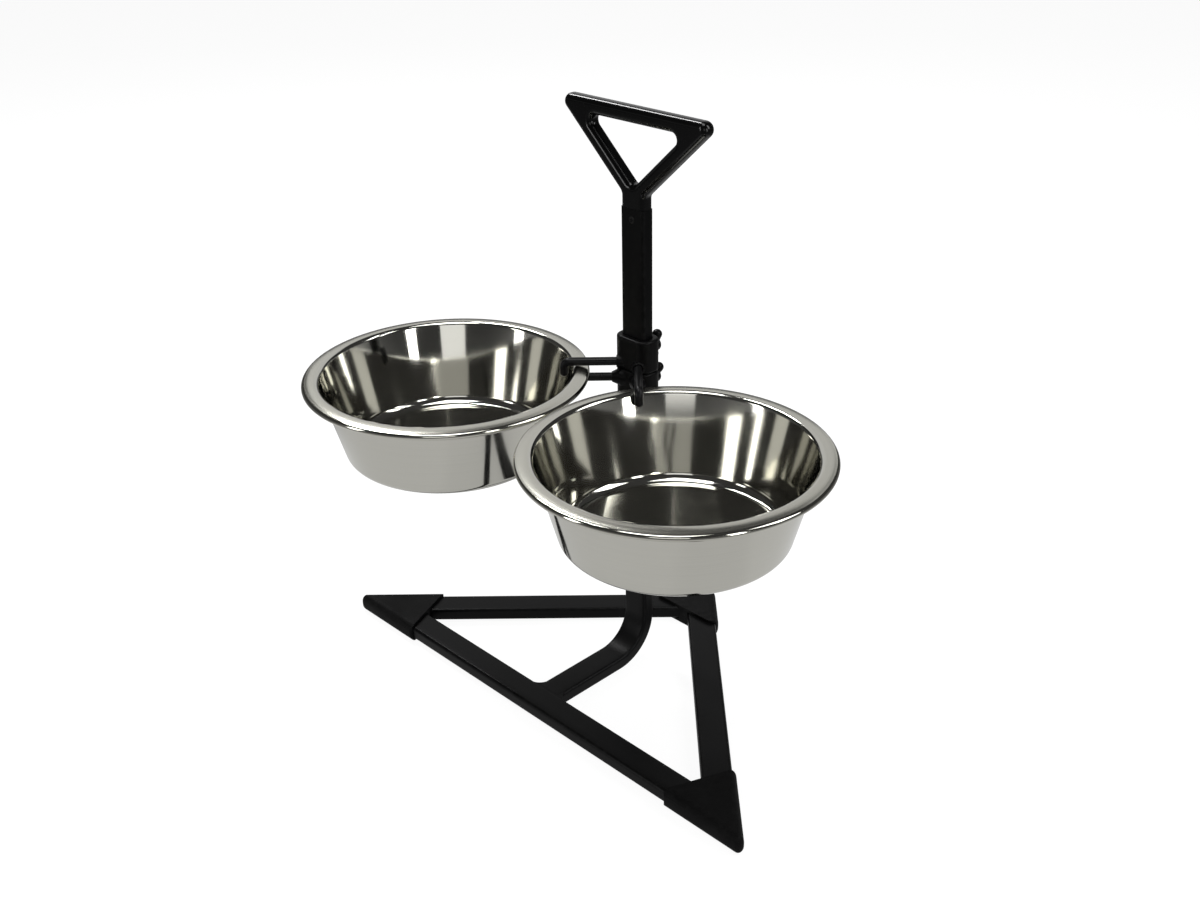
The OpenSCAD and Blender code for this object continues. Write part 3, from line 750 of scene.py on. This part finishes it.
def wing_knob(level):
    """A hub on the screw with two wings that swell to round tips, drawn upright and then turned."""
    low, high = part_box(level + "_knob")
    place = (Matrix.Translation((post_x, low.y, (low.z + high.z) / 2))
             @ Matrix.Rotation(math.radians(knob_turn[level]), 4, "Y"))
    root = Vector((0, hub_len * wing_root, 0))
    knob = turned(level + "_wing_knob", [
        (0, 0), (hub_r - hub_edge, 0), (hub_r, hub_edge), (hub_r * hub_taper, hub_len - hub_shoulder),
        (hub_r * hub_top, hub_len), (0, hub_len)], Vector(), hub_sides)
    whole = bmesh.new()
    whole.from_mesh(knob.data)
    for way in (1, -1):
        run = Vector((0, wing_flare, way * (wing_reach - wing_tip_r))) - root
        lean = 90 + math.degrees(math.asin((wing_tip_r - wing_root_r) / run.length))
        swell = [math.radians(lean * (1 - k / wing_steps)) for k in range(wing_steps)]
        tip = [(wing_tip_r * math.sin(a), run.length + wing_tip_r * math.cos(a)) for a in swell]
        wing = turned("wing", [(0, 0), (wing_root_r, 0), *tip, (0, run.length + wing_tip_r)],
                      Vector(), wing_sides)
        wing.data.transform(Matrix.Translation(root) @ run.to_track_quat("Y", "Z").to_matrix().to_4x4())
        whole.from_mesh(wing.data)
        bpy.data.objects.remove(wing)
    bmesh.ops.recalc_face_normals(whole, faces=whole.faces)
    whole.transform(place)
    whole.to_mesh(knob.data)
    whole.free()
    softened(knob, knob_grid, knob_passes)
    angles = [2 * math.pi * k / bore_sides for k in range(bore_sides)]
    bore = [(bore_r * math.cos(a), bore_r * math.sin(a)) for a in angles]
    cut_out(knob, [(bore, bore_start, bore_len)], place @ Matrix.Rotation(math.radians(-90), 4, "X"))
    return knob


def clamp_with_knob(level):
    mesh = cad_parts[level + "_clamp"].data.copy()
    tidy_mesh(mesh)
    clamp = new_piece(level + "_clamp_moulding", mesh)
    softened(clamp, clamp_grid, clamp_passes)
    knob = wing_knob(level)
    for piece, node in ((clamp, "_clamp"), (knob, "_knob")):
        piece.data.materials.append(clamp_plastic)
        mark_edges(piece.data, moulded_wear_r)
        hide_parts(level + node)
        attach(piece, level + node + "_body")
    threaded_screw(level + "_knob_screw", level + "_knob_stud", level + "_knob_body")
    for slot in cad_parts[level + "_clamp_nut"].material_slots:
        slot.material = zinc_plate


clamp_with_knob("lower")


def rod_tree():
    tree, given = node_tree("round_rod", [("Radius", "Float"), ("Bend", "Float"), ("Round Ends", "Bool")])
    path = add_node(tree, "GeometryNodeMeshToCurve", Mesh=given["Line"])
    bent = add_node(tree, "GeometryNodeFilletCurve", {"mode": "POLY"}, Curve=path.outputs[0],
                    Radius=given["Bend"], Count=rod_bend_steps, Limit_Radius=True)
    circle = add_node(tree, "GeometryNodeCurvePrimitiveCircle", Radius=given["Radius"], Resolution=rod_sides)
    rod = add_node(tree, "GeometryNodeCurveToMesh", Curve=bent.outputs[0],
                   Profile_Curve=circle.outputs[0], Fill_Caps=True)
    ball = add_node(tree, "GeometryNodeMeshUVSphere", Segments=rod_sides, Rings=rod_sides // 2,
                    Radius=given["Radius"])
    last = add_node(tree, "GeometryNodeCurveEndpointSelection", Start_Size=0, End_Size=1)
    rounded = reckon(tree, "AND", last.outputs[0], given["Round Ends"], kind="FunctionNodeBooleanMath")
    dome = add_node(tree, "GeometryNodeInstanceOnPoints", Points=bent.outputs[0],
                    Selection=rounded[0], Instance=ball.outputs[0])
    join = add_node(tree, "GeometryNodeJoinGeometry")
    feed(tree, join.inputs[0], rod.outputs[0])
    feed(tree, join.inputs[0], dome.outputs[0])
    end_tree(tree, given, join.outputs[0])
    return tree


round_rod = rod_tree()
rod_coat = black_material(
    "rod_coat", colour=(0.0022, 0.0022, 0.0024), pale=(0.004, 0.004, 0.0042), worn=(0.016, 0.016, 0.0165),
    gloss=(0.26, 0.36, 0.24), grain=1500, drift=60, rubbing=0.6, bump=0.08, specular=0.16)


def out_along(side, distance, z):
    return (post_x + side * math.sin(arm_angle) * distance, post_y - math.cos(arm_angle) * distance, z)


def rod_reach(low, high, side):
    """How far out from the post the middle of a rod's outer end lies."""
    edge = low.x + rod_r if side < 0 else high.x - rod_r
    return abs(edge - post_x) / math.sin(arm_angle)


for hand, side in (("left", -1), ("right", 1)):
    low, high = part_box(hand + "_stay")
    stay_z = high.z - rod_r
    stay = shaped(hand + "_stay_coated", round_rod,
                  [out_along(side, rod_start, stay_z), out_along(side, rod_reach(low, high, side), stay_z)],
                  rod_coat, radius=rod_r, bend=0.0, round_ends=True)
    mark_edges(stay.data, rod_wear_r)
    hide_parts(hand + "_stay")
    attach(stay, "lower_clamp_body")


# Upper clamp
# The same sleeve and knob, with a small boss for each hook: a coated steel rod that
# reaches over a bowl's rim and is bent down inside it, so that each bowl can be lifted off.

hook_bend_r = 0.005

clamp_with_knob("upper")
for hand, side in (("left", -1), ("right", 1)):
    low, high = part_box(hand + "_hook")
    hook_z, reach = high.z - rod_r, rod_reach(low, high, side)
    hook = shaped(hand + "_hook_coated", round_rod,
                  [out_along(side, rod_start, hook_z), out_along(side, reach, hook_z),
                   out_along(side, reach, low.z + rod_r)],
                  rod_coat, radius=rod_r, bend=hook_bend_r, round_ends=True)
    mark_edges(hook.data, rod_wear_r)
    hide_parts(hand + "_hook")
    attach(hook, "upper_clamp_body")


# Bowls
# Spun stainless sheet, bright inside and out, with a satin rim whose edge is rolled under and polished.
# Each hangs by its rim between a hook above and a stay below.

rim_d, rim_w, rim_fall, bead_d = 0.235, 0.0105, 0.0012, 0.005
sheet, wall_taper, neck_r, floor_r = 0.001, 15, 0.0035, 0.010
bowl_arc_step, bowl_sides, pole_gap = 4, 160, 1e-5
path_r = 0.09
ring_fineness, ring_depth, ring_bump = 2600.0, 0.0002, 0.003
wall_tone, wall_pale = (0.54, 0.533, 0.487, 1), (0.60, 0.592, 0.541, 1)
rim_tone = (0.54, 0.532, 0.475, 1)
wall_gloss, rim_gloss = (0.055, 0.11), (0.19, 0.25)
rim_r = rim_d / 2
rim_from, rim_to = rim_r - rim_w - 0.0012, rim_r - rim_w + 0.0008
roll_from, roll_to = rim_r - 0.6 * bead_d, rim_r - 0.35 * bead_d


def arc(middle, r, start, end):
    count = math.ceil(abs(end - start) / bowl_arc_step)
    angles = [math.radians(start + (end - start) * i / count) for i in range(count + 1)]
    return [(middle[0] + r * math.cos(a), middle[1] + r * math.sin(a)) for a in angles]


def bowl_section(bowl_h):
    """(radius, height) points of the sheet's two faces, from the middle of the floor and back to it."""
    half = sheet / 2
    taper = math.radians(wall_taper)
    neck_at = rim_r - rim_w
    bead_at, bead_r = rim_r - bead_d / 2, bead_d / 2
    arc_w = bead_at - neck_at
    arc_r = (arc_w * arc_w + rim_fall * rim_fall) / (2 * rim_fall)
    arc_end = 90 - math.degrees(math.asin(arc_w / arc_r))
    loss = 1 - math.sin(taper)
    depth = bowl_h - sheet
    wall_x = neck_at - neck_r * math.cos(taper)
    wall_h = depth - floor_r * loss - neck_r * loss
    floor_x = wall_x - wall_h * math.tan(taper) - floor_r * math.cos(taper)
    rim_middle, neck_middle = (neck_at, -arc_r), (neck_at, -neck_r)
    floor_middle, bead_middle = (floor_x, floor_r - depth), (bead_at, half - rim_fall - bead_r)
    under_r = arc_r - half
    dx, dy = rim_middle[0] - bead_middle[0], rim_middle[1] - bead_middle[1]
    span = math.hypot(dx, dy)
    close = math.degrees(math.atan2(dy, dx)
                         - math.acos((bead_r ** 2 + span ** 2 - under_r ** 2) / (2 * bead_r * span)))
    end = arc(bead_middle, bead_r, close, close + 1)[0]
    under = math.degrees(math.atan2(end[1] - rim_middle[1], end[0] - rim_middle[0]))
    return ([(0, half - depth)]
            + arc(floor_middle, floor_r - half, -90, -wall_taper)
            + arc(neck_middle, neck_r + half, 180 - wall_taper, 90)
            + arc(rim_middle, arc_r + half, 90, arc_end)[1:]
            + arc(bead_middle, bead_r, arc_end, close)[1:]
            + arc(rim_middle, under_r, under, 90)[1:]
            + arc(neck_middle, neck_r - half, 90, 180 - wall_taper)[1:]
            + arc(floor_middle, floor_r + half, -wall_taper, -90)
            + [(0, -half - depth)])


def turned_sheet_tree():
    tree, given = node_tree("turned_sheet", [("Path Radius", "Float"), ("Sides", "Int")])
    section = add_node(tree, "GeometryNodeMeshToCurve", Mesh=given["Line"])
    path = add_node(tree, "GeometryNodeCurvePrimitiveCircle",
                    Radius=given["Path Radius"], Resolution=given["Sides"])
    spun = add_node(tree, "GeometryNodeCurveToMesh", Curve=path.outputs[0], Profile_Curve=section.outputs[0])
    closed = add_node(tree, "GeometryNodeMergeByDistance", Geometry=spun.outputs[0], Distance=pole_gap)
    end_tree(tree, given, closed.outputs[0])
    return tree


def spin_marks_group():
    """Fine rings left by spinning and polishing, about an upright line through the bowl's middle."""
    group, given, out = shader_group(
        "spin_marks", [("Middle", (0.0, 0.0, 0.0)), ("Fineness", 2500.0)], ["Rings", "Radius", "Haze"])
    place = add_node(group, "ShaderNodeTexCoord").outputs["Object"]
    local = reckon(group, "SUBTRACT", place, given["Middle"], kind="ShaderNodeVectorMath")["Vector"]
    parts = add_node(group, "ShaderNodeSeparateXYZ", Vector=local).outputs
    flat = add_node(group, "ShaderNodeCombineXYZ", X=parts["X"], Y=parts["Y"]).outputs[0]
    radius = reckon(group, "LENGTH", flat, kind="ShaderNodeVectorMath")["Value"]
    way = reckon(group, "NORMALIZE", flat, kind="ShaderNodeVectorMath")["Vector"]
    way_parts = add_node(group, "ShaderNodeSeparateXYZ", Vector=way).outputs
    fine_radius, fine_height = (
        reckon(group, "MULTIPLY", value, given["Fineness"])[0] for value in (radius, parts["Z"]))
    ring_at = add_node(group, "ShaderNodeCombineXYZ", X=way_parts["X"], Y=way_parts["Y"], Z=fine_radius)
    rings = add_node(group, "ShaderNodeTexNoise", {"noise_dimensions": "4D"},
                     Vector=ring_at.outputs[0], W=fine_height, Scale=1.0, Detail=3.0)
    haze = add_node(group, "ShaderNodeTexNoise", Vector=place, Scale=22.0, Detail=4.0)
    feed(group, out["Rings"], rings.outputs[0])
    feed(group, out["Radius"], radius)
    feed(group, out["Haze"], haze.outputs[0])
    return group


spin_marks = spin_marks_group()


def bowl_steel(name, middle):
    material, tree, surface = new_material(name)
    marks = add_node(tree, "ShaderNodeGroup", {"node_tree": spin_marks},
                     Middle=middle, Fineness=ring_fineness).outputs
    on_rim = eased(tree, marks["Radius"], rim_from, rim_to, 0, 1)
    off_roll = eased(tree, marks["Radius"], roll_from, roll_to, 1, 0)
    on_flat = reckon(tree, "MULTIPLY", on_rim, off_roll)[0]
    wall = mix(tree, "RGBA", marks["Rings"], wall_tone, wall_pale)
    bright = spread(tree, marks["Haze"], *wall_gloss)
    satin = spread(tree, marks["Rings"], *rim_gloss)
    relief = add_node(tree, "ShaderNodeBump", Strength=ring_bump, Distance=ring_depth, Height=marks["Rings"])
    steel = add_node(tree, "ShaderNodeBsdfPrincipled",
                     Base_Color=mix(tree, "RGBA", on_rim, wall, rim_tone),
                     Roughness=mix(tree, "FLOAT", on_flat, bright, satin),
                     Normal=relief.outputs[0], Metallic=1.0)
    feed(tree, surface, steel.outputs[0])
    return material


turned_sheet = turned_sheet_tree()
for hand in ("left", "right"):
    low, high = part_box(hand + "_bowl")
    middle = ((low.x + high.x) / 2, (low.y + high.y) / 2, high.z - sheet / 2)
    section = bowl_section(high.z - low.z)
    bowl = shaped(hand + "_bowl_spun", turned_sheet, [(r - path_r, -z, 0) for r, z in section],
                  bowl_steel(hand + "_bowl_steel", middle), path_radius=path_r, sides=bowl_sides)
    bowl.data.transform(Matrix.Translation(middle))
    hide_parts(hand + "_bowl")
    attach(bowl, hand + "_bowl_body")
